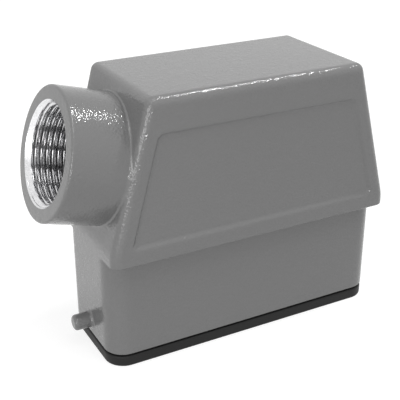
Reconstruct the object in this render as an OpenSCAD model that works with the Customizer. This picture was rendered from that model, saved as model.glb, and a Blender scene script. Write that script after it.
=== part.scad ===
// Hood of a two-row heavy duty rectangular connector, with its sixteen-way pin insert.
// Millimetres. The origin is the centre of the mating rectangle on the seal's lower face,
// +Z points away from the mating side and the cable leaves towards -X.

/* [Skirt] */
// Length of the skirt outside
skirt_l = 79.6; // [78.5:0.1:81]
// Width of the skirt outside
skirt_w = 28; // [28:0.1:29]
// Radius of the skirt's upright corners
skirt_r = 5.4; // [4.5:0.1:6]
// Wall of the casting
wall = 2.4; // [2.2:0.1:2.6]
// Height of the rim seal below the casting
seal_h = 3.5; // [3:0.1:4]

/* [Upper body] */
// Height of the ledge where the body widens
ledge_z = 30.2; // [29:0.1:31]
// Width of the body outside
body_w = 35; // [35:0.1:37]
// Height of the upright band above the ledge
band_h = 3; // [2.5:0.1:4]
// Height of the flat top
top_z = 70.8; // [70:0.1:74]
// Length of the flat top
top_l = 59.2; // [57:0.1:61]
// Radius of the body's upright corners at the ledge
body_r = 2.4; // [2:0.1:3]
// Radius of the edges of the top
top_r = 2.2; // [1.6:0.1:2.6]
// Depth of the panel sunk into each long side
panel_depth = 0.7; // [0.4:0.1:1]

/* [Cable boss] */
// Outer diameter of the boss
boss_d = 32.6; // [31:0.1:33]
// Length of the boss above the sloping end wall
boss_l = 14.4; // [12:0.1:16]
// Height at which the boss axis meets the end wall
boss_z = 51.7; // [50.5:0.1:52.5]
// Outer diameter of the cable thread
thread_d = 25; // [25:1:25]
// Pitch of the cable thread
thread_pitch = 1.5; // [1.5:0.1:1.5]
// Depth of the conical mouth in front of the thread
mouth_depth = 1.4; // [1:0.1:2]

/* [Locking pegs] */
// Diameter of a locking peg
peg_d = 4.2; // [3.8:0.1:4.6]
// Length of a locking peg
peg_l = 4.9; // [4:0.1:5.5]
// Height of the pegs above the seal's lower face
peg_z = 7.8; // [7:0.1:10]

/* [Insert] */
// Contacts in one row
row_count = 8; // [8:1:8]
// Distance between contacts in a row
pin_pitch = 6.5; // [6.3:0.1:6.6]
// Distance of each row from the middle
row_y = 4.9; // [4.8:0.1:5]
// Diameter of a contact pin
pin_d = 2.5; // [2:0.1:2.7]
// Distance between the fixing screws along the insert
fix_x = 66; // [66:0.5:66.5]
// Distance between the fixing screws across the insert
fix_y = 16; // [16:0.1:16.2]

/* [Hidden] */
$fn = 64;
eps = 0.01;
slip = 0.05;

// Casting
skirt_in_l = skirt_l - 2 * wall;
skirt_in_w = skirt_w - 2 * wall;
skirt_in_r = skirt_r - wall;
body_in_w = body_w - 2 * wall;
ledge_top_z = ledge_z + wall;
band_z = ledge_z + band_h;
slope_run = (skirt_l - top_l) / 2;
slope_rise = top_z - band_z;
slope = atan(slope_run / slope_rise);
boss_x = -skirt_l / 2 + (boss_z - band_z) * tan(slope);
boss_root = 2;
boss_fillet = 1;
groove_w = 0.8;
groove_h = 1.6;
tongue_h = 1.4;
peg_chamfer = 0.8;
peg_root = 0.6;

// Cable thread: the bore is drilled to the crest of the inner thread
bore_d = thread_d - 1.0825 * thread_pitch;
mouth_d = thread_d + 0.6;
bore_reach = boss_root + wall + 4;

// Panel sunk into the long sides, a trapezium that follows the sloping ends
panel_low_z = ledge_z + 4.4;
panel_high_z = top_z - 8.8;
panel_margin = 4.8;
panel_r = 1.4;

// Screw posts inside the skirt
flange_top_z = 23;
post_d = 7.2;
post_top_z = 38;
post_tie = 0.4;
tap_depth = 10;
m3_tap_d = 2.6;

// Insert levels, from the mating side upwards
guard_low_z = 2;
socket_top_z = 13.5;
flange_h = 3.2;
flange_low_z = flange_top_z - flange_h;
back_top_z = 37;

// Insert plan sizes
guard_l = 60;
guard_w = 20.8;
guard_r = 2.2;
guard_wall = 1.6;
flange_l = skirt_in_l - 1.2;
flange_w = skirt_in_w - 0.8;
flange_r = 2.6;
back_l = 58;
back_w = 21;
key_w = 3;
key_h = 5;
chamber_d = 5.2;
rib_gap = 1.2;
rib_h = 3;

// Contacts
pin_tip_z = 5;
pin_collar_z = 16;
barrel_z = 18.5;
barrel_d = 5;
barrel_top_z = 33;
collar_d = 4;
wire_d = 3;
wire_floor_z = 24;
clamp_z = 28.5;
clamp_head_d = 4;
clamp_head_h = 1.6;
clamp_shank_d = 2.5;
clamp_head_y = 10.2;
clamp_tip_y = 6.1;
leaf_y = 5.6;
leaf_t = 0.4;

// Earth contacts at the two ends
earth_x = guard_l / 2 + 0.2;
earth_block_l = 6;
earth_block_w = 7.6;
earth_block_h = 5;
blade_t = 1.2;
blade_w = 6;
blade_low_z = 6;
earth_screw_x = earth_x + earth_block_l / 2;
earth_tap_d = 3.4;
earth_washer_h = 0.8;
earth_gap = 1.2;

// Fixing screws of the insert
fix_hole_d = 3.4;
fix_head_d = 5.5;
fix_head_h = 2;
fix_washer_h = 0.8;
fix_shank_d = 2.5;
fix_tip_z = 31;

// Half the outer length of the body at height z
function half_length(z) = z < band_z ? skirt_l / 2 : skirt_l / 2 - (z - band_z) * tan(slope);

// Place of contact number i: the first row_count contacts are on the -Y side
function pin_x(i) = ((i - 1) % row_count - (row_count - 1) / 2) * pin_pitch;
function pin_side(i) = i <= row_count ? -1 : 1;

// Rectangle with round corners
module round_rect(l, w, r) {
    square([l - 2 * r, w], center = true);
    square([l, w - 2 * r], center = true);
    for (x = [-1, 1], y = [-1, 1])
        translate([x * (l / 2 - r), y * (w / 2 - r)]) circle(r);
}

// Plate with round corners between two heights
module plate(l, w, r, z0, z1) {
    translate([0, 0, z0]) linear_extrude(z1 - z0) round_rect(l, w, r);
}

// Upright cylinder between two heights
module post(d, z0, z1) {
    translate([0, 0, z0]) cylinder(d = d, h = z1 - z0);
}

// Tapered block with a rounded top: a plate below and four balls at the top corners
module tapered_block(low_l, high_l, w, r_low, r_high, z0, z1, z2) {
    hull() {
        plate(low_l, w, r_low, z0, z1, $fn = 32);
        for (x = [-1, 1], y = [-1, 1])
            translate([x * (high_l / 2 - r_high), y * (w / 2 - r_high), z2 - r_high])
                sphere(r_high, $fn = 32);
    }
}

// Frame whose +Z runs outwards along the boss, from the end wall
module on_boss() {
    translate([boss_x, 0, boss_z]) rotate([0, slope - 90, 0]) children();
}

// The four fixing points of the insert
module at_fixings() {
    for (x = [-1, 1], y = [-1, 1])
        translate([x * fix_x / 2, y * fix_y / 2, 0]) children();
}

// Every contact place, with +Y turned to the contact's own long side
module at_contacts() {
    for (i = [1:2 * row_count]) at_contact(i) children();
}

module at_contact(i) {
    translate([pin_x(i), 0, 0]) scale([1, pin_side(i), 1]) children();
}

// Panel sunk into one long side
module panel_cut() {
    low = half_length(panel_low_z) - panel_margin - panel_r;
    high = half_length(panel_high_z) - panel_margin - panel_r;
    translate([0, -body_w / 2 + panel_depth, 0]) rotate([90, 0, 0])
        linear_extrude(2 * panel_depth) hull() {
            for (x = [-1, 1]) {
                translate([x * low, panel_low_z + panel_r]) circle(panel_r, $fn = 32);
                translate([x * high, panel_high_z - panel_r]) circle(panel_r, $fn = 32);
            }
        }
}

// Locking peg on the -X end, with a chamfered tip and a short conical root
module peg() {
    translate([-skirt_l / 2 + eps, 0, peg_z]) rotate([0, -90, 0]) {
        translate([0, 0, -wall / 2]) cylinder(d = peg_d, h = wall / 2 + peg_l - peg_chamfer);
        translate([0, 0, peg_l - peg_chamfer])
            cylinder(d1 = peg_d, d2 = peg_d - 1.6 * peg_chamfer, h = peg_chamfer);
        translate([0, 0, -eps]) cylinder(d1 = peg_d + 2 * peg_root, d2 = peg_d, h = peg_root);
    }
}

// Screw post in one corner of the skirt, tied to both walls
module screw_post() {
    reach_x = skirt_in_l / 2 - fix_x / 2 + post_tie;
    reach_y = skirt_in_w / 2 - fix_y / 2 + post_tie;
    post(post_d, flange_top_z, post_top_z);
    translate([0, -post_d / 2, flange_top_z])
        cube([reach_x, post_d / 2 + reach_y, ledge_z - flange_top_z]);
    translate([0, -post_d / 2, flange_top_z])
        cube([reach_x, post_d, post_top_z - flange_top_z]);
}

module boss_outer() {
    on_boss() {
        translate([0, 0, -boss_root]) cylinder(d = boss_d, h = boss_l + boss_root);
        cylinder(d1 = boss_d + 2 * boss_fillet, d2 = boss_d, h = boss_fillet);
    }
}

module boss_bore() {
    on_boss() {
        translate([0, 0, -bore_reach]) cylinder(d = bore_d, h = boss_l + bore_reach + 1);
        translate([0, 0, boss_l - mouth_depth])
            cylinder(d1 = bore_d, d2 = 2 * mouth_d - bore_d, h = 2 * mouth_depth);
    }
}

module hood_outer() {
    plate(skirt_l, skirt_w, skirt_r, seal_h, ledge_top_z);
    tapered_block(skirt_l, top_l, body_w, body_r, top_r, ledge_z, band_z, top_z);
    boss_outer();
    peg();
    mirror([1, 0, 0]) peg();
}

module hood_inner() {
    inner_drop = wall / cos(slope);
    plate(skirt_in_l, skirt_in_w, skirt_in_r, seal_h - 1, ledge_top_z + 1);
    tapered_block(skirt_in_l, 2 * (half_length(top_z - wall) - inner_drop), body_in_w,
                  body_r, top_r, ledge_top_z, band_z, top_z - wall);
}

module hood_shell() {
    color("dimgray") difference() {
        union() {
            difference() {
                hood_outer();
                hood_inner();
            }
            for (x = [0, 1], y = [0, 1])
                mirror([x, 0, 0]) mirror([0, y, 0])
                    translate([fix_x / 2, fix_y / 2, 0]) screw_post();
        }
        boss_bore();
        panel_cut();
        mirror([0, 1, 0]) panel_cut();
        at_fixings() post(m3_tap_d, flange_top_z - 1, flange_top_z + tap_depth);
        difference() {
            plate(skirt_l - wall + groove_w, skirt_w - wall + groove_w,
                  skirt_r - (wall - groove_w) / 2, seal_h - 1, seal_h + groove_h);
            plate(skirt_l - wall - groove_w, skirt_w - wall - groove_w,
                  skirt_r - (wall + groove_w) / 2, seal_h - 2, seal_h + groove_h + 1);
        }
    }
}

// Ring of the rim's plan, narrowed by an inset on both sides
module rim_ring(inset, z0, z1) {
    difference() {
        plate(skirt_l - 2 * inset, skirt_w - 2 * inset, skirt_r - inset, z0, z1);
        plate(skirt_in_l + 2 * inset, skirt_in_w + 2 * inset, skirt_in_r + inset, z0 - 1, z1 + 1);
    }
}

module rim_gasket() {
    color([0.12, 0.12, 0.12]) {
        rim_ring(0.4, 0, 0.7);
        rim_ring(0.1, 0.7 - eps, seal_h - 0.4);
        rim_ring(0.4, seal_h - 0.4 - eps, seal_h);
        rim_ring((wall - groove_w) / 2 + slip, seal_h - eps, seal_h + tongue_h);
    }
}

// Openings for one contact in the carrier: pin bore, collar seat and barrel chamber
module carrier_cut() {
    translate([0, row_y, 0]) {
        post(pin_d + 4 * slip, socket_top_z - 1, pin_collar_z + 1);
        post(collar_d + 4 * slip, pin_collar_z - slip, barrel_z + 1);
        post(chamber_d, barrel_z - slip, flange_top_z + 1);
    }
}

// Front half of the insert: guard wall, floor with the pin bores, and the screwed flange
module insert_body() {
    color([0.16, 0.16, 0.17]) difference() {
        union() {
            plate(guard_l, guard_w, guard_r, guard_low_z, flange_low_z + 1);
            plate(flange_l, flange_w, flange_r, flange_low_z, flange_top_z);
        }
        plate(guard_l - 2 * guard_wall, guard_w - 2 * guard_wall, guard_r - 0.8,
              guard_low_z - 1, socket_top_z);
        at_contacts() carrier_cut();
        at_fixings() post(fix_hole_d, flange_low_z - 1, flange_top_z + 1);
        // Key slot through both sides of the guard wall, off centre so that the mate fits one way
        translate([guard_l / 4, -guard_w, guard_low_z - 1])
            cube([key_w, 2 * guard_w, key_h + 1]);
        // Slots for the earth blades
        for (x = [0, 1]) mirror([x, 0, 0])
            translate([earth_x - slip, -blade_w / 2 - slip, flange_low_z - 1])
                cube([blade_t + 2 * slip, blade_w + 2 * slip, flange_h + 2]);
    }
}

// Back half of the insert: a chamber for each barrel and a side hole for its clamp screw
module terminal_block() {
    color([0.2, 0.2, 0.21]) difference() {
        plate(back_l, back_w, guard_r, flange_top_z, back_top_z);
        at_contacts() {
            translate([0, row_y, 0]) post(chamber_d, flange_top_z - 1, back_top_z + 1);
            translate([0, row_y, clamp_z]) rotate([-90, 0, 0])
                cylinder(d = clamp_head_d + 8 * slip, h = back_w);
        }
        // Saw cuts between the chambers
        for (i = [1:row_count - 1])
            translate([pin_x(i) + (pin_pitch - rib_gap) / 2, -back_w, back_top_z - rib_h])
                cube([rib_gap, 2 * back_w, rib_h + 1]);
    }
}

// Turned contact: round-nosed pin, collar and barrel with its wire hole and clamp thread
module contact(i) {
    nose = pin_d / 2;
    color("gold") at_contact(i) difference() {
        translate([0, row_y, 0]) {
            translate([0, 0, pin_tip_z + nose]) sphere(nose);
            post(pin_d, pin_tip_z + nose, pin_collar_z + 0.5);
            post(collar_d, pin_collar_z, barrel_z + 0.5);
            post(barrel_d, barrel_z, barrel_top_z);
        }
        translate([0, row_y, 0]) post(wire_d, wire_floor_z, barrel_top_z + 1);
        translate([0, row_y, clamp_z]) rotate([-90, 0, 0])
            cylinder(d = clamp_shank_d + 2 * slip, h = barrel_d);
    }
}

// Slotted cheese-head screw with its head's upper face at z = 0 and its tip at z = -length
module slotted_screw(head_d, head_h, shank_d, length) {
    difference() {
        translate([0, 0, -head_h]) cylinder(d = head_d, h = head_h);
        translate([-head_d, -head_d * 0.09, -head_h * 0.5])
            cube([2 * head_d, head_d * 0.18, head_h]);
    }
    translate([0, 0, -length]) cylinder(d = shank_d, h = length - head_h + eps);
}

module terminal_screws() {
    color("silver") at_contacts()
        translate([0, clamp_head_y, clamp_z]) rotate([-90, 0, 0])
            slotted_screw(clamp_head_d, clamp_head_h, clamp_shank_d, clamp_head_y - clamp_tip_y);
}

module wire_guards() {
    color("tan") at_contacts()
        translate([-1, leaf_y, wire_floor_z + 0.5])
            cube([2, leaf_t, barrel_top_z - wire_floor_z - 0.5]);
}

// Earth plate: tapped block on the flange and a blade down the end of the guard wall
module earth_plate() {
    difference() {
        union() {
            translate([earth_x, -earth_block_w / 2, flange_top_z])
                cube([earth_block_l, earth_block_w, earth_block_h]);
            translate([earth_x, -blade_w / 2, blade_low_z])
                cube([blade_t, blade_w, flange_top_z + 1 - blade_low_z]);
        }
        translate([earth_screw_x, 0, 0])
            post(earth_tap_d + 2 * slip, flange_top_z - 1, flange_top_z + earth_block_h + 1);
    }
}

module earth_plate_left() {
    color("goldenrod") mirror([1, 0, 0]) earth_plate();
}

module earth_plate_right() {
    color("goldenrod") earth_plate();
}

module earth_washers() {
    color("silver") for (x = [-1, 1])
        translate([x * earth_screw_x, 0, 0]) difference() {
            z0 = flange_top_z + earth_block_h + earth_gap;
            translate([-2.8, -3.6, z0]) cube([5.6, 7.2, earth_washer_h]);
            post(earth_tap_d + 4 * slip, z0 - 1, z0 + 2);
        }
}

module earth_screws() {
    color("silver") for (x = [-1, 1])
        translate([x * earth_screw_x, 0, flange_top_z + earth_block_h + earth_gap
                   + earth_washer_h + 2])
            slotted_screw(5.4, 2, earth_tap_d, earth_block_h + earth_gap + earth_washer_h + 1.6);
}

module mounting_screws() {
    head_z = flange_low_z - fix_washer_h - fix_head_h;
    color("silver") at_fixings()
        translate([0, 0, head_z]) rotate([180, 0, 0])
            slotted_screw(fix_head_d, fix_head_h, fix_shank_d, fix_tip_z - head_z);
}

module lock_washers() {
    color("gray") at_fixings() difference() {
        post(5.2, flange_low_z - fix_washer_h, flange_low_z);
        post(3, flange_low_z - 2, flange_low_z + 1);
    }
}

hood_shell();
rim_gasket();
insert_body();
terminal_block();
for (i = [1:2 * row_count]) contact(i);
terminal_screws();
wire_guards();
earth_plate_left();
earth_plate_right();
earth_screws();
earth_washers();
mounting_screws();
lock_washers();
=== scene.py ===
import math

import bpy
import bmesh
import numpy as np
from mathutils import Matrix, Vector


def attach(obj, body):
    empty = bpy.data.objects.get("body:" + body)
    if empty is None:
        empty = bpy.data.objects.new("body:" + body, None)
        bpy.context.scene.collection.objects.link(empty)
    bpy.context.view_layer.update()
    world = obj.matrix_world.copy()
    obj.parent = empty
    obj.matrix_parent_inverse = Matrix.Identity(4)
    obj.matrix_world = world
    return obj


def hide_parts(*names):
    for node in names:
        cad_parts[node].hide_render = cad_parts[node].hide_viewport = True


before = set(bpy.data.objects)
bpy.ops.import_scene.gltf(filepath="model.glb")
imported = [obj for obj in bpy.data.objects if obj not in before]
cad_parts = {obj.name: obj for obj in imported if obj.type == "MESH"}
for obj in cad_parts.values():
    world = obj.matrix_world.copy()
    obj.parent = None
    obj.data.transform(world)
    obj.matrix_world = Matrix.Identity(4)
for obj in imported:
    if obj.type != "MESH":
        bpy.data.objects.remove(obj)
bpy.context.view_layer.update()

scene = bpy.context.scene
mm = 0.001
weldDistance = 0.001 * mm  # points closer than this become one


def newObject(name, mesh, materials=()):
    obj = bpy.data.objects.new(name, mesh)
    scene.collection.objects.link(obj)
    for material in materials:
        obj.data.materials.append(material)
    return obj


def meshFromRows(name, rows, slot):
    # rows: equal closed loops of points in millimetres, from one end of the solid to the other
    points = np.array(rows, float) * mm
    rowCount, columnCount = points.shape[:2]
    faces = []
    for i in range(rowCount - 1):
        for j in range(columnCount):
            k = (j + 1) % columnCount
            faces.append((i * columnCount + j, i * columnCount + k,
                          (i + 1) * columnCount + k, (i + 1) * columnCount + j))
    faces.append(tuple(reversed(range(columnCount))))
    faces.append(tuple(range((rowCount - 1) * columnCount, rowCount * columnCount)))
    mesh = bpy.data.meshes.new(name)
    mesh.from_pydata(points.reshape(-1, 3).tolist(), [], faces)
    mesh.polygons.foreach_set("material_index", [slot] * len(faces))
    bm = bmesh.new()
    bm.from_mesh(mesh)
    bmesh.ops.remove_doubles(bm, verts=bm.verts, dist=weldDistance)
    bmesh.ops.recalc_face_normals(bm, faces=bm.faces)
    bm.to_mesh(mesh)
    bm.free()
    return mesh


def bakeModifiers(obj):
    # the evaluated result becomes the plain mesh, and the modifiers go
    depsgraph = bpy.context.evaluated_depsgraph_get()
    made = bpy.data.meshes.new_from_object(obj.evaluated_get(depsgraph), depsgraph=depsgraph)
    obj.modifiers.clear()
    obj.data = made
    return obj


def booleanWith(obj, cutters, operation):
    group = bpy.data.collections.new(obj.name + operation.title())
    for cutter in cutters:
        group.objects.link(cutter)
    modifier = obj.modifiers.new("join", "BOOLEAN")
    modifier.operation = operation
    modifier.solver = "EXACT"
    modifier.operand_type = "COLLECTION"
    modifier.collection = group
    bakeModifiers(obj)
    for cutter in cutters:
        bpy.data.objects.remove(cutter)
    bpy.data.collections.remove(group)


def smoothByAngle(obj, degrees):
    # smooth shading that stays flat on the large faces
    obj.data.polygons.foreach_set("use_smooth", [True] * len(obj.data.polygons))
    obj.data.set_sharp_from_angle(angle=math.radians(degrees))
    modifier = obj.modifiers.new("weighted", "WEIGHTED_NORMAL")
    modifier.keep_sharp = True
    modifier.weight = 90  # large faces decide
    bakeModifiers(obj)


def arcAngles(steps, start=0.0, end=90.0):
    return [math.radians(start + (end - start) * i / steps) for i in range(steps + 1)]


def circleAngles(count):
    return [2 * math.pi * k / count for k in range(count)]


def feed(tree, socket, value):
    # a number is set on the socket, an output is linked to it
    if isinstance(value, (int, float)):
        socket.default_value = value
    else:
        tree.links.new(value, socket)


def startGroup(name, inputs, output):
    tree = bpy.data.node_groups.new(name, "ShaderNodeTree")
    tree.interface.new_socket("Vector", in_out="INPUT", socket_type="NodeSocketVector")
    for label, value in inputs.items():
        socket = tree.interface.new_socket(label, in_out="INPUT", socket_type="NodeSocketFloat")
        socket.default_value = value
    tree.interface.new_socket(output, in_out="OUTPUT", socket_type="NodeSocketFloat")
    return tree, tree.nodes.new("NodeGroupInput").outputs, tree.nodes.new("NodeGroupOutput").inputs


def mathNode(tree, operation, a, b):
    node = tree.nodes.new("ShaderNodeMath")
    node.operation = operation
    feed(tree, node.inputs[0], a)
    feed(tree, node.inputs[1], b)
    return node.outputs[0]


def noiseNode(tree, vector, scale, detail):
    node = tree.nodes.new("ShaderNodeTexNoise")
    tree.links.new(vector, node.inputs["Vector"])
    feed(tree, node.inputs["Scale"], scale)
    node.inputs["Detail"].default_value = detail
    return node.outputs["Fac"]


def makePeelGroup():
    # the rounded skin of powder coated paint: slow swells and small pimples, in millimetres
    tree, given, out = startGroup("peel skin", {"Swell scale": 450.0, "Swell height": 0.05,
                                                "Pimple scale": 1700.0, "Pimple height": 0.03}, "Height")
    swell = noiseNode(tree, given["Vector"], given["Swell scale"], 0.0)
    pimple = noiseNode(tree, given["Vector"], given["Pimple scale"], 1.0)
    swell = mathNode(tree, "MULTIPLY", swell, given["Swell height"])
    pimple = mathNode(tree, "MULTIPLY", pimple, given["Pimple height"])
    tree.links.new(mathNode(tree, "ADD", swell, pimple), out["Height"])
    return tree


def makeGrainGroup():
    # slow and fine variation round 1, which multiplies a colour or a roughness
    tree, given, out = startGroup("slow grain", {"Slow scale": 40.0, "Fine scale": 1500.0, "Amount": 0.05},
                                  "Factor")
    slow = noiseNode(tree, given["Vector"], given["Slow scale"], 3.0)
    fine = noiseNode(tree, given["Vector"], given["Fine scale"], 2.0)
    centred = mathNode(tree, "SUBTRACT", mathNode(tree, "ADD", slow, fine), 1.0)
    scaled = mathNode(tree, "MULTIPLY", centred, given["Amount"])
    tree.links.new(mathNode(tree, "ADD", scaled, 1.0), out["Factor"])
    return tree


peelGroup = makePeelGroup()
grainGroup = makeGrainGroup()


def startMaterial(name, settings):
    material = bpy.data.materials.new(name)
    material.use_nodes = True
    tree = material.node_tree
    shader = tree.nodes["Principled BSDF"]
    shader.inputs["Roughness"].default_value = settings["roughness"]
    shader.inputs["Metallic"].default_value = settings.get("metallic", 0.0)
    shader.inputs["IOR"].default_value = 1.5
    shader.inputs["Specular IOR Level"].default_value = settings.get("specular", 0.5)
    place = tree.nodes.new("ShaderNodeTexCoord").outputs["Object"]
    return material, tree, shader, place


def placeGroup(tree, group, vector, values):
    node = tree.nodes.new("ShaderNodeGroup")
    node.node_tree = group
    tree.links.new(vector, node.inputs["Vector"])
    for label, value in values.items():
        node.inputs[label].default_value = value
    return node.outputs[0]


def addGrain(tree, shader, place, settings):
    # the grain varies the colour and the roughness
    grain = placeGroup(tree, grainGroup, place, {"Slow scale": settings["slow"], "Fine scale": settings["fine"],
                                                 "Amount": settings["amount"]})
    tint = tree.nodes.new("ShaderNodeVectorMath")
    tint.operation = "SCALE"
    tint.inputs[0].default_value = settings["colour"]
    tree.links.new(grain, tint.inputs["Scale"])
    tree.links.new(tint.outputs[0], shader.inputs["Base Color"])
    tree.links.new(mathNode(tree, "MULTIPLY", grain, settings["roughness"]), shader.inputs["Roughness"])


def addBump(tree, shader, height, strength, distance):
    bump = tree.nodes.new("ShaderNodeBump")
    bump.inputs["Strength"].default_value = strength
    bump.inputs["Distance"].default_value = distance
    tree.links.new(height, bump.inputs["Height"])
    tree.links.new(bump.outputs["Normal"], shader.inputs["Normal"])


def grainyMaterial(name, settings):
    # moulded or metal finish: tinted grain, varied roughness and a fine bump
    material, tree, shader, place = startMaterial(name, settings)
    addGrain(tree, shader, place, settings)
    height = noiseNode(tree, place, settings["bumpScale"], settings.get("bumpDetail", 2.0))
    addBump(tree, shader, height, settings["bumpStrength"], settings["bumpDepth"])
    return material


paintLook = {"colour": (0.185, 0.185, 0.185), "roughness": 0.13, "slow": 30.0, "fine": 1800.0, "amount": 0.05,
             "swellScale": 420.0, "swellHeight": 0.03, "pimpleScale": 1800.0, "pimpleHeight": 0.11}


def makePaint():
    material, tree, shader, place = startMaterial("greyPowderCoat", paintLook)
    peel = placeGroup(tree, peelGroup, place,
                      {"Swell scale": paintLook["swellScale"], "Swell height": paintLook["swellHeight"],
                       "Pimple scale": paintLook["pimpleScale"], "Pimple height": paintLook["pimpleHeight"]})
    addGrain(tree, shader, place, paintLook)
    addBump(tree, shader, peel, 1.0, mm)
    return material


paint = makePaint()
bareMetal = grainyMaterial("machinedAluminium", {
    "colour": (0.76, 0.76, 0.77), "roughness": 0.22, "metallic": 1.0, "slow": 260.0, "fine": 2400.0,
    "amount": 0.45, "bumpScale": 2600.0, "bumpDetail": 3.0, "bumpStrength": 0.35, "bumpDepth": 0.00006})
rubber = grainyMaterial("blackRubber", {
    "colour": (0.017, 0.017, 0.017), "roughness": 0.5, "specular": 0.2, "slow": 60.0, "fine": 2200.0,
    "amount": 0.25, "bumpScale": 3000.0, "bumpStrength": 0.25, "bumpDepth": 0.00004})
carrierPlastic = grainyMaterial("carrierPlastic", {
    "colour": (0.05, 0.051, 0.054), "roughness": 0.45, "slow": 50.0, "fine": 2500.0,
    "amount": 0.12, "bumpScale": 4200.0, "bumpStrength": 0.2, "bumpDepth": 0.00003})
blockPlastic = grainyMaterial("blockPlastic", {
    "colour": (0.085, 0.086, 0.09), "roughness": 0.5, "slow": 45.0, "fine": 2500.0,
    "amount": 0.12, "bumpScale": 4200.0, "bumpStrength": 0.2, "bumpDepth": 0.00003})
silverPlate = grainyMaterial("silverPlate", {
    "colour": (0.8, 0.77, 0.7), "roughness": 0.26, "metallic": 1.0, "slow": 300.0, "fine": 4000.0,
    "amount": 0.18, "bumpScale": 5000.0, "bumpStrength": 0.15, "bumpDepth": 0.00002})
zincSteel = grainyMaterial("zincSteel", {
    "colour": (0.58, 0.58, 0.6), "roughness": 0.3, "metallic": 1.0, "slow": 250.0, "fine": 4000.0,
    "amount": 0.2, "bumpScale": 5000.0, "bumpStrength": 0.2, "bumpDepth": 0.00002})
springSteel = grainyMaterial("springSteel", {
    "colour": (0.42, 0.42, 0.43), "roughness": 0.36, "metallic": 1.0, "slow": 250.0, "fine": 4500.0,
    "amount": 0.2, "bumpScale": 5000.0, "bumpStrength": 0.2, "bumpDepth": 0.00002})
earthBrass = grainyMaterial("earthBrass", {
    "colour": (0.7, 0.52, 0.24), "roughness": 0.32, "metallic": 1.0, "slow": 200.0, "fine": 4000.0,
    "amount": 0.2, "bumpScale": 5000.0, "bumpStrength": 0.2, "bumpDepth": 0.00002})
print("materials ready")


def castPart(name, rows, slot=0):
    # slot 0 is painted and slot 1 is bare metal
    return newObject(name, meshFromRows(name, rows, slot), (paint, bareMetal))


# the hood's sizes in millimetres; the step tuples place its mesh rows and columns
hood = {"halfLength": 39.8, "skirtHalfWidth": 14.0, "skirtRadius": 5.4, "wall": 2.4,
        "rimZ": 3.5, "rimEase": 0.35, "ledgeZ": 30.2, "ledgeFillet": 0.4, "ledgeEase": 0.45,
        "bandZ": 33.2, "bendBlend": 1.6, "topZ": 70.8, "topHalfLength": 29.6,
        "bodyHalfWidth": 17.5, "bodyRadius": 2.4, "topRadius": 2.2, "leastRadius": 0.05,
        "grooveWidth": 0.8, "grooveDepth": 1.6, "innerEase": 0.2,
        "panelLow": 34.6, "panelHigh": 62.0, "panelMargin": 4.8, "panelCorner": 1.4,
        "panelDepth": 0.7, "panelEdge": 0.6,
        "marginSteps": (-1.9, -1.4, -0.9, -0.6, -0.4, -0.25, -0.1, 0, 0.1, 0.25, 0.4, 0.6, 0.9, 1.3, 1.8, 2.6),
        "edgeSteps": (0, 0.2, 0.4, 0.8, 1.2, 1.6, 2.2, 3.2), "panelRows": 13, "columnGap": 0.3,
        "cornerSteps": 9, "endSteps": 22, "middleSteps": 34, "skirtRows": (24.0, 17.0, 10.0)}

slope = math.atan((hood["halfLength"] - hood["topHalfLength"]) / (hood["topZ"] - hood["bandZ"]))
topCentreZ = hood["topZ"] - hood["topRadius"]


def halfLengthAt(z):
    # upright band, a soft bend, then the sloping end
    rise = z - hood["bandZ"]
    blend = hood["bendBlend"]
    if rise < -blend:
        rise = 0.0
    elif rise < blend:
        rise = (rise + blend) ** 2 / (4 * blend)
    return hood["halfLength"] - rise * math.tan(slope)


def bodyRadiusAt(z):
    share = min(max((z - hood["bandZ"]) / (topCentreZ - hood["bandZ"]), 0.0), 1.0)
    return hood["bodyRadius"] + (hood["topRadius"] - hood["bodyRadius"]) * share


def sideColumns(halfLength):
    # close together at the panel's ends, then even steps
    margins = [round(hood["panelMargin"] + step, 4) for step in hood["marginSteps"]]
    inner = halfLength - margins[-1]
    count = hood["middleSteps"]
    middle = [-inner + 2 * inner * k / count for k in range(1, count)]
    left = [-(halfLength - margin) for margin in margins]
    return left + middle + [-x for x in reversed(left)]


def outline(halfLength, halfWidth, radius, z, columns):
    # one closed loop, anticlockwise seen from above, starting on the -Y side
    straightX = halfLength - radius
    straightY = halfWidth - radius
    reference = columns[-1] / (1 - hood["columnGap"] / straightX)
    endShares = [2 * k / hood["endSteps"] - 1 for k in range(1, hood["endSteps"])]
    points = []

    def corner(sx, sy, start):
        for angle in arcAngles(hood["cornerSteps"], start, start + 90):
            points.append((sx * straightX + radius * math.cos(angle),
                           sy * straightY + radius * math.sin(angle), z))

    points += [(x / reference * straightX, -halfWidth, z) for x in columns]
    corner(1, -1, -90)
    points += [(halfLength, straightY * share, z) for share in endShares]
    corner(1, 1, 0)
    points += [(-x / reference * straightX, halfWidth, z) for x in columns]
    corner(-1, 1, 90)
    points += [(-halfLength, straightY * -share, z) for share in endShares]
    corner(-1, -1, 180)
    return np.array(points)


def panelShare(x, z):
    # 0 outside the sunk panel, 1 on its floor, with rounded corners and a soft edge
    radius = hood["panelCorner"]
    inside = [z - hood["panelLow"], hood["panelHigh"] - z,
              (halfLengthAt(z) - hood["panelMargin"] - abs(x)) * math.cos(slope)]
    missing = [max(radius - d, 0.0) for d in inside]
    depth = radius - math.hypot(*missing) if any(missing) else min(inside)
    t = min(max((depth + hood["panelEdge"]) / (2 * hood["panelEdge"]), 0.0), 1.0)
    return t * t * (3 - 2 * t)


def sinkPanels(points):
    for p in points:
        if math.isclose(abs(p[1]), hood["bodyHalfWidth"], abs_tol=1e-6):
            p[1] -= math.copysign(hood["panelDepth"] * panelShare(p[0], p[2]), p[1])
    return points


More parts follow.
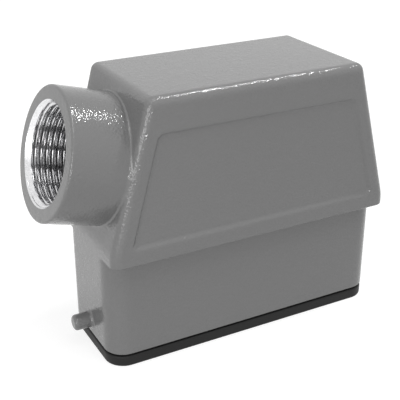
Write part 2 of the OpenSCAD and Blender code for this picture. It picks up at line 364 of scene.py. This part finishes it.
def bodyRow(z):
    # the row of the upper body at a height, drawn in over the rounded top edge
    half = halfLengthAt(z)
    width = hood["bodyHalfWidth"]
    radius = bodyRadiusAt(z)
    if z > topCentreZ:
        ball = math.sqrt(max(hood["topRadius"] ** 2 - (z - topCentreZ) ** 2, 0.0))
        centreX = halfLengthAt(topCentreZ) - hood["topRadius"] / math.cos(slope)
        half = min(half, centreX + ball)
        width += ball - hood["topRadius"]
        radius = max(ball, hood["leastRadius"])
    return outline(half, width, radius, z, sideColumns(halfLengthAt(min(z, topCentreZ))))


baseColumns = sideColumns(hood["halfLength"])


def skirtRow(z, inset=0.0):
    return outline(hood["halfLength"] - inset, hood["skirtHalfWidth"] - inset,
                   hood["skirtRadius"] - inset, z, baseColumns)


def bodyHeights():
    # rows below the rounded top edge, close together where the panel's edge curves
    h = hood
    past = h["edgeSteps"][-1] * h["panelEdge"] + 2
    heights = [topCentreZ - 0.3, h["topZ"] - 3.3, h["panelHigh"] + 2.5, h["panelHigh"] + 1.2]
    for edgeZ in (h["panelHigh"], h["panelLow"]):
        for step in h["edgeSteps"]:
            heights += [edgeZ - step * h["panelEdge"], edgeZ + step * h["panelEdge"]]
    heights += list(np.linspace(h["panelHigh"] - past, h["panelLow"] + past, h["panelRows"]))
    heights += [h["bandZ"] + 0.1, h["bandZ"] - 0.5, h["bandZ"] - 1.1, h["ledgeZ"] + h["ledgeEase"] + 0.3]
    return sorted(set(round(z, 4) for z in heights), reverse=True)


def bodyRows():
    # outside of the upper body, from the top down
    rows = [bodyRow(hood["topZ"]) * np.array([0.97, 0.95, 1.0])]  # drawn in a little on the flat top
    rows += [bodyRow(topCentreZ + hood["topRadius"] * math.sin(angle)) for angle in reversed(arcAngles(9))]
    return rows + [sinkPanels(bodyRow(z)) for z in bodyHeights()]


def ledgeRows():
    # the body's eased lower edge, the underside, and the fillet down to the skirt
    h = hood
    ease = h["ledgeEase"]
    step = h["bodyHalfWidth"] - h["skirtHalfWidth"]
    body = bodyRow(h["ledgeZ"])
    foot = skirtRow(h["ledgeZ"])

    def between(share, z):
        row = foot + (body - foot) * share
        row[:, 2] = z
        return row

    rows = [between(1 - (1 - math.sin(angle)) * ease / step, h["ledgeZ"] + ease * (1 - math.cos(angle)))
            for angle in reversed(arcAngles(6))]
    return rows + [between((1 - math.cos(angle)) * h["ledgeFillet"] / step,
                           h["ledgeZ"] - h["ledgeFillet"] * (1 - math.sin(angle)))
                   for angle in reversed(arcAngles(5))]


def skirtRows():
    # the skirt down to the eased rim, and the groove that holds the seal's tongue
    h = hood
    heights = (h["ledgeZ"] - h["ledgeFillet"] - 0.4,) + h["skirtRows"]
    heights += (h["rimZ"] + 1.2, h["rimZ"] + h["rimEase"])
    rows = [skirtRow(z) for z in heights]
    rows += [skirtRow(h["rimZ"] + h["rimEase"] * (1 - math.sin(angle)), h["rimEase"] * (1 - math.cos(angle)))
             for angle in arcAngles(3)[1:]]
    gapOut = (h["wall"] - h["grooveWidth"]) / 2
    gapIn = (h["wall"] + h["grooveWidth"]) / 2
    return rows + [skirtRow(h["rimZ"], gapOut), skirtRow(h["rimZ"] + h["grooveDepth"], gapOut),
                   skirtRow(h["rimZ"] + h["grooveDepth"], gapIn), skirtRow(h["rimZ"], gapIn),
                   skirtRow(h["rimZ"], h["wall"] - h["innerEase"]),
                   skirtRow(h["rimZ"] + h["innerEase"], h["wall"])]


def insideRows():
    # the inside, from the skirt up to the roof
    h = hood
    shelfZ = h["ledgeZ"] + h["wall"]
    rows = [skirtRow(z, h["wall"]) for z in (12.0, 22.0, shelfZ)]
    drop = h["wall"] / math.cos(slope)
    roofCentre = topCentreZ - h["wall"]
    for z in [shelfZ] + [roofCentre + h["topRadius"] * math.sin(angle) for angle in arcAngles(5)]:
        ball = math.sqrt(max(h["topRadius"] ** 2 - max(z - roofCentre, 0) ** 2, 0.0))
        low = z < h["bandZ"]
        half = h["halfLength"] - h["wall"] if low else halfLengthAt(min(z, roofCentre)) - drop
        tuck = 0.0 if low else h["topRadius"] - ball
        rows.append(outline(half - tuck, h["bodyHalfWidth"] - h["wall"] - tuck,
                            max(h["topRadius"] - tuck, h["leastRadius"]), z, baseColumns))
    return rows


# cable boss with its threaded bore; along is measured from the sloping wall outwards
boss = {"radius": 16.3, "length": 14.4, "rootZ": 51.7, "fillet": 0.5, "faceEase": 0.5, "sides": 144,
        "sink": 2.0, "coreRadius": 6.0, "faceRadius": 8.0, "alongRows": (1.5, 3.0, 6.0, 9.0, 12.0),
        "boreRadius": 11.69, "threadRadius": 12.5, "pitch": 1.5, "crest": 0.25, "valley": 0.125,
        "mouthRadius": 12.8, "mouthDepth": 1.4, "threadEnd": -3.2, "deepEnd": 2.0,
        "boreSides": 132, "turnRows": 16}
bossRoot = Vector((-halfLengthAt(boss["rootZ"]), 0, boss["rootZ"]))
bossOut = Vector((-math.cos(slope), 0, math.sin(slope)))
bossUp = Vector((math.sin(slope), 0, math.cos(slope)))


def bossPoint(along, radius, angle):
    side = radius * math.cos(angle)
    up = radius * math.sin(angle)
    p = bossRoot + bossOut * along + Vector((0, 1, 0)) * side + bossUp * up
    return (p.x, p.y, p.z)


def wallHeight(side, up):
    # how far the end wall falls away below its own plane, at its rounded upright corners
    z = bossRoot.z + up * math.cos(slope)
    radius = bodyRadiusAt(z)
    past = abs(side) - (hood["bodyHalfWidth"] - radius)
    if past <= 0:
        return 0.0
    return -(radius - math.sqrt(max(radius ** 2 - past ** 2, 0.0))) * math.cos(slope)


def makeBoss():
    b = boss
    angles = circleAngles(b["sides"])

    def ring(along, radius):
        return [bossPoint(along, radius, a) for a in angles]

    def wallRing(radius, share, lift):
        # a ring that follows the end wall, less and less as it leaves it
        return [bossPoint(wallHeight(radius * math.cos(a), radius * math.sin(a)) * share + lift, radius, a)
                for a in angles]

    rim = b["radius"] + b["fillet"]
    rows = [ring(-b["sink"], b["coreRadius"]), ring(-b["sink"], rim), wallRing(rim, 1, -0.25)]
    for turn in arcAngles(8):
        # arc that leaves the wall tangentially and ends along the boss
        lift = b["fillet"] * (1 - math.cos(turn)) - 0.02 * (1 - math.sin(turn))
        rows.append(wallRing(rim - b["fillet"] * math.sin(turn), 1 - turn / math.pi * 2, lift))
    rows += [ring(along, b["radius"]) for along in b["alongRows"] + (b["length"] - b["faceEase"] - 0.3,)]
    rows += [ring(b["length"] - b["faceEase"] * (1 - math.sin(turn)),
                  b["radius"] - b["faceEase"] * (1 - math.cos(turn))) for turn in arcAngles(4)]
    rows += [ring(b["length"], b["radius"] - b["faceEase"] - 0.3), ring(b["length"], b["faceRadius"])]
    return castPart("boss", rows)


def boreRadiusAt(along, angle):
    # inner thread with flat crests and valleys that fades out deep inside, opened by the conical mouth
    b = boss
    phase = (along / b["pitch"] - angle / (2 * math.pi)) % 1.0
    distance = abs(phase - 0.5) * 2
    share = min(max((1 - b["crest"] - distance) / (1 - b["crest"] - b["valley"]), 0.0), 1.0)
    fade = min(max(along - b["threadEnd"], 0.0), 1.0)
    thread = b["boreRadius"] + (b["threadRadius"] - b["boreRadius"]) * share * fade
    opening = b["mouthRadius"] - b["boreRadius"]
    cone = b["boreRadius"] + opening * (along - b["length"] + b["mouthDepth"]) / b["mouthDepth"]
    return max(thread, cone)


def makeBore():
    b = boss
    angles = circleAngles(b["boreSides"])
    total = b["length"] - b["threadEnd"] + b["deepEnd"]
    count = round(total / b["pitch"] * b["turnRows"])
    stops = [b["threadEnd"] - b["deepEnd"] + total * k / count for k in range(count + 1)]
    stops.append(b["length"] + 0.3)
    return castPart("bore", [[bossPoint(t, boreRadiusAt(t, a), a) for a in angles] for t in stops], 1)


# one locking peg on each end; it starts inside the wall
peg = {"radius": 2.1, "length": 4.88, "z": 7.8, "root": 0.8, "ease": 0.9, "sides": 40}


def makePeg(side):
    p = peg
    angles = circleAngles(p["sides"])

    def ring(along, r):
        x = side * (hood["halfLength"] + along)
        return [(x, r * math.cos(a), p["z"] + r * math.sin(a)) for a in angles]

    rows = [ring(along, p["radius"] + p["root"]) for along in (-1.2, -0.2)]
    rows += [ring(p["root"] * (1 - math.cos(t)) - 0.01, p["radius"] + p["root"] * (1 - math.sin(t)))
             for t in arcAngles(6)]
    rows.append(ring(p["length"] - p["ease"] - 0.3, p["radius"]))
    rows += [ring(p["length"] - p["ease"] * (1 - math.sin(t)), p["radius"] - p["ease"] * (1 - math.cos(t)))
             for t in arcAngles(6)]
    return castPart("peg", rows)


# screw posts in the skirt's corners; tie is how far they reach into its walls
post = {"x": 33.0, "y": 8.0, "low": 23.0, "high": 38.0, "radius": 3.6, "tie": 0.4,
        "tapRadius": 1.3, "tapDepth": 10.0, "countersink": 0.3}


def makePost(sx, sy):
    p = post
    wallX = hood["halfLength"] - hood["wall"] + p["tie"]
    wallY = hood["skirtHalfWidth"] - hood["wall"] + p["tie"]
    plan = [(wallX, wallY), (p["x"], wallY)]
    plan += [(p["x"] + p["radius"] * math.cos(a), p["y"] + p["radius"] * math.sin(a))
             for a in arcAngles(14, 180, 270)]
    plan.append((wallX, p["y"] - p["radius"]))
    return castPart("post", [[(sx * x, sy * y, z) for x, y in plan] for z in (p["low"], p["high"])])


def makeTap(sx, sy):
    p = post

    def ring(z, r):
        # the loop's last side closes the circle
        return [(sx * p["x"] + r * math.cos(a), sy * p["y"] + r * math.sin(a), z)
                for a in arcAngles(20, 0, 342)]

    rows = [ring(p["low"] - 1, p["tapRadius"] + p["countersink"]),
            ring(p["low"] + p["countersink"], p["tapRadius"]), ring(p["low"] + p["tapDepth"], p["tapRadius"])]
    return castPart("tap", rows, 1)


corners = [(sx, sy) for sx in (-1, 1) for sy in (-1, 1)]
hoodPiece = castPart("hoodShell", bodyRows() + ledgeRows() + skirtRows() + insideRows())
booleanWith(hoodPiece, [makeBoss(), makePeg(-1), makePeg(1)] + [makePost(*c) for c in corners], "UNION")
booleanWith(hoodPiece, [makeBore()] + [makeTap(*c) for c in corners], "DIFFERENCE")
smoothByAngle(hoodPiece, 38)
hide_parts("hood_shell")
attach(hoodPiece, "root")
print("hood", len(hoodPiece.data.polygons), "faces")


# rim seal: three rings swept by geometry nodes and joined; slack is its clearance in the rim's width
seal = {"length": 79.6, "width": 28.0, "corner": 5.4, "wall": 2.4, "slack": 0.16, "height": 3.5,
        "bodyHeight": 2.95, "ease": 0.5, "neckInset": 0.8, "neckFrom": 1.5, "neckEase": 0.05,
        "tongueWidth": 0.7, "tongueFrom": 2.5, "tongueHeight": 1.4, "tongueEase": 0.15}


def sealTree():
    tree = bpy.data.node_groups.new("seal sweep", "GeometryNodeTree")
    for label, value in (("Length", 0.08), ("Width", 0.03), ("Corner", 0.005),
                         ("Section width", 0.002), ("Section height", 0.003), ("Section ease", 0.0004)):
        tree.interface.new_socket(label, in_out="INPUT", socket_type="NodeSocketFloat").default_value = value
    tree.interface.new_socket("Material", in_out="INPUT", socket_type="NodeSocketMaterial")
    tree.interface.new_socket("Geometry", in_out="OUTPUT", socket_type="NodeSocketGeometry")
    given = tree.nodes.new("NodeGroupInput")
    out = tree.nodes.new("NodeGroupOutput")

    def roundedRectangle(width, height, radius, count):
        shape = tree.nodes.new("GeometryNodeCurvePrimitiveQuadrilateral")
        tree.links.new(given.outputs[width], shape.inputs["Width"])
        tree.links.new(given.outputs[height], shape.inputs["Height"])
        fillet = tree.nodes.new("GeometryNodeFilletCurve")
        fillet.mode = "POLY"
        fillet.inputs["Count"].default_value = count
        tree.links.new(shape.outputs["Curve"], fillet.inputs["Curve"])
        tree.links.new(given.outputs[radius], fillet.inputs["Radius"])
        return fillet.outputs["Curve"]

    sweep = tree.nodes.new("GeometryNodeCurveToMesh")
    tree.links.new(roundedRectangle("Length", "Width", "Corner", 14), sweep.inputs["Curve"])
    tree.links.new(roundedRectangle("Section width", "Section height", "Section ease", 4),
                   sweep.inputs["Profile Curve"])
    realize = tree.nodes.new("GeometryNodeRealizeInstances")
    tree.links.new(sweep.outputs["Mesh"], realize.inputs["Geometry"])
    paintIt = tree.nodes.new("GeometryNodeSetMaterial")
    tree.links.new(realize.outputs["Geometry"], paintIt.inputs["Geometry"])
    tree.links.new(given.outputs["Material"], paintIt.inputs["Material"])
    tree.links.new(paintIt.outputs["Geometry"], out.inputs["Geometry"])
    return tree


def socketId(tree, label):
    return next(item.identifier for item in tree.interface.items_tree
                if item.item_type == "SOCKET" and item.in_out == "INPUT" and item.name == label)


def sweptRing(tree, name, values, z):
    obj = newObject(name, bpy.data.meshes.new(name))
    modifier = obj.modifiers.new("sweep", "NODES")
    modifier.node_group = tree
    for label, value in values.items():
        modifier[socketId(tree, label)] = value
    bakeModifiers(obj)
    obj.data.transform(Matrix.Translation((0, 0, z)))
    return obj


def makeSeal():
    s = seal
    tree = sealTree()
    path = {"Length": (s["length"] - s["wall"]) * mm, "Width": (s["width"] - s["wall"]) * mm,
            "Corner": (s["corner"] - s["wall"] / 2) * mm, "Material": rubber}

    def ring(name, width, low, high, ease):
        sizes = {"Section width": width * mm, "Section height": (high - low) * mm, "Section ease": ease * mm}
        return sweptRing(tree, name, dict(path, **sizes), (low + high) / 2 * mm)

    body = ring("rimSeal", s["wall"] - s["slack"], 0.0, s["bodyHeight"], s["ease"])
    neck = ring("sealNeck", s["wall"] - 2 * s["neckInset"], s["neckFrom"], s["height"], s["neckEase"])
    tongue = ring("sealTongue", s["tongueWidth"], s["tongueFrom"], s["height"] + s["tongueHeight"],
                  s["tongueEase"])
    booleanWith(body, [neck, tongue], "UNION")
    smoothByAngle(body, 50)
    return body


sealPiece = makeSeal()
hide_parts("rim_gasket")
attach(sealPiece, "root")
print("seal", len(sealPiece.data.polygons), "faces")


# the contact carrier's CAD solids keep their shapes and get their finishes
finishes = {"insert_body": carrierPlastic, "terminal_block": blockPlastic, "terminal_screws": zincSteel,
            "mounting_screws": zincSteel, "earth_screws": zincSteel, "wire_guards": springSteel,
            "earth_washers": springSteel, "lock_washers": springSteel,
            "earth_plate_left": earthBrass, "earth_plate_right": earthBrass}
finishes.update({name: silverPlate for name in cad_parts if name.startswith("pin_")})
for name, material in finishes.items():
    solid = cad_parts[name]
    solid.data.materials.clear()
    solid.data.materials.append(material)
print("insert finished")


stage = {"floorColour": (0.38, 0.38, 0.38), "floorSize": 6.0, "floorRoughness": 0.9, "floorGlow": 0.77,
         "surround": 0.52, "behind": 1.0}


def makeFloor():
    size = stage["floorSize"]
    mesh = bpy.data.meshes.new("floor")
    mesh.from_pydata([(-size, -size, 0), (size, -size, 0), (size, size, 0), (-size, size, 0)], [],
                     [(0, 1, 2, 3)])
    material = bpy.data.materials.new("paleFloor")
    material.use_nodes = True
    tree = material.node_tree
    shader = tree.nodes["Principled BSDF"]
    shader.inputs["Base Color"].default_value = stage["floorColour"] + (1.0,)
    shader.inputs["Roughness"].default_value = stage["floorRoughness"]
    shader.inputs["Specular IOR Level"].default_value = 0.0
    shader.inputs["Emission Color"].default_value = (1, 1, 1, 1)
    path = tree.nodes.new("ShaderNodeLightPath")
    seen = mathNode(tree, "MAXIMUM", path.outputs["Is Camera Ray"], path.outputs["Is Glossy Ray"])
    tree.links.new(mathNode(tree, "MULTIPLY", seen, stage["floorGlow"]), shader.inputs["Emission Strength"])
    newObject("floor", mesh, (material,))


def makeWorld():
    # plain white where it is seen, dimmer where it only lights
    world = bpy.data.worlds.new("studio")
    scene.world = world
    world.use_nodes = True
    tree = world.node_tree
    background = tree.nodes["Background"]
    path = tree.nodes.new("ShaderNodeLightPath")
    seen = mathNode(tree, "MAXIMUM", path.outputs["Is Camera Ray"], path.outputs["Is Glossy Ray"])
    seen = mathNode(tree, "MAXIMUM", seen, path.outputs["Is Transmission Ray"])
    strength = tree.nodes.new("ShaderNodeMapRange")
    strength.inputs["To Min"].default_value = stage["surround"]
    strength.inputs["To Max"].default_value = stage["behind"]
    tree.links.new(seen, strength.inputs["Value"])
    tree.links.new(strength.outputs["Result"], background.inputs["Strength"])
    background.inputs["Color"].default_value = (1, 1, 1, 1)


lamps = {"key": {"place": (0.27, -0.03, 0.58), "targetZ": 0.05, "size": (0.08, 0.04), "power": 1.15},
         "softTop": {"place": (0.0, -0.4, 1.15), "targetZ": 0.05, "size": (0.6, 0.6), "power": 3.8},
         "frontStrip": {"place": (-0.28, -0.855, 0.06), "targetZ": 0.05, "size": (0.03, 0.05), "power": 0.7},
         "leftSoft": {"place": (-0.28, -0.2, 0.1), "targetZ": 0.04, "size": (0.16, 0.16), "power": 0.34}}


def addLamp(name, look):
    lamp = bpy.data.lights.new(name, "AREA")
    lamp.shape = "RECTANGLE"
    lamp.size, lamp.size_y = look["size"]
    lamp.energy = look["power"]
    obj = bpy.data.objects.new(name, lamp)
    scene.collection.objects.link(obj)
    obj.location = look["place"]
    aim = Vector((0, 0, look["targetZ"])) - Vector(look["place"])
    obj.rotation_euler = aim.to_track_quat("-Z", "Y").to_euler()


cameraLook = {"place": (-0.1048, -0.18091, 0.13014), "forward": (0.42915, 0.79877, -0.42167),
              "lens": 77.56, "sensor": 36.0, "nearest": 0.01}


def makeCamera():
    camera = bpy.data.cameras.new("camera")
    camera.lens = cameraLook["lens"]
    camera.sensor_width = cameraLook["sensor"]
    camera.clip_start = cameraLook["nearest"]
    obj = bpy.data.objects.new("camera", camera)
    scene.collection.objects.link(obj)
    obj.location = cameraLook["place"]
    obj.rotation_euler = Vector(cameraLook["forward"]).to_track_quat("-Z", "Y").to_euler()
    scene.camera = obj


makeFloor()
makeWorld()
for name, look in lamps.items():
    addLamp(name, look)
makeCamera()
scene.view_settings.view_transform = "Standard"
print("stage ready")
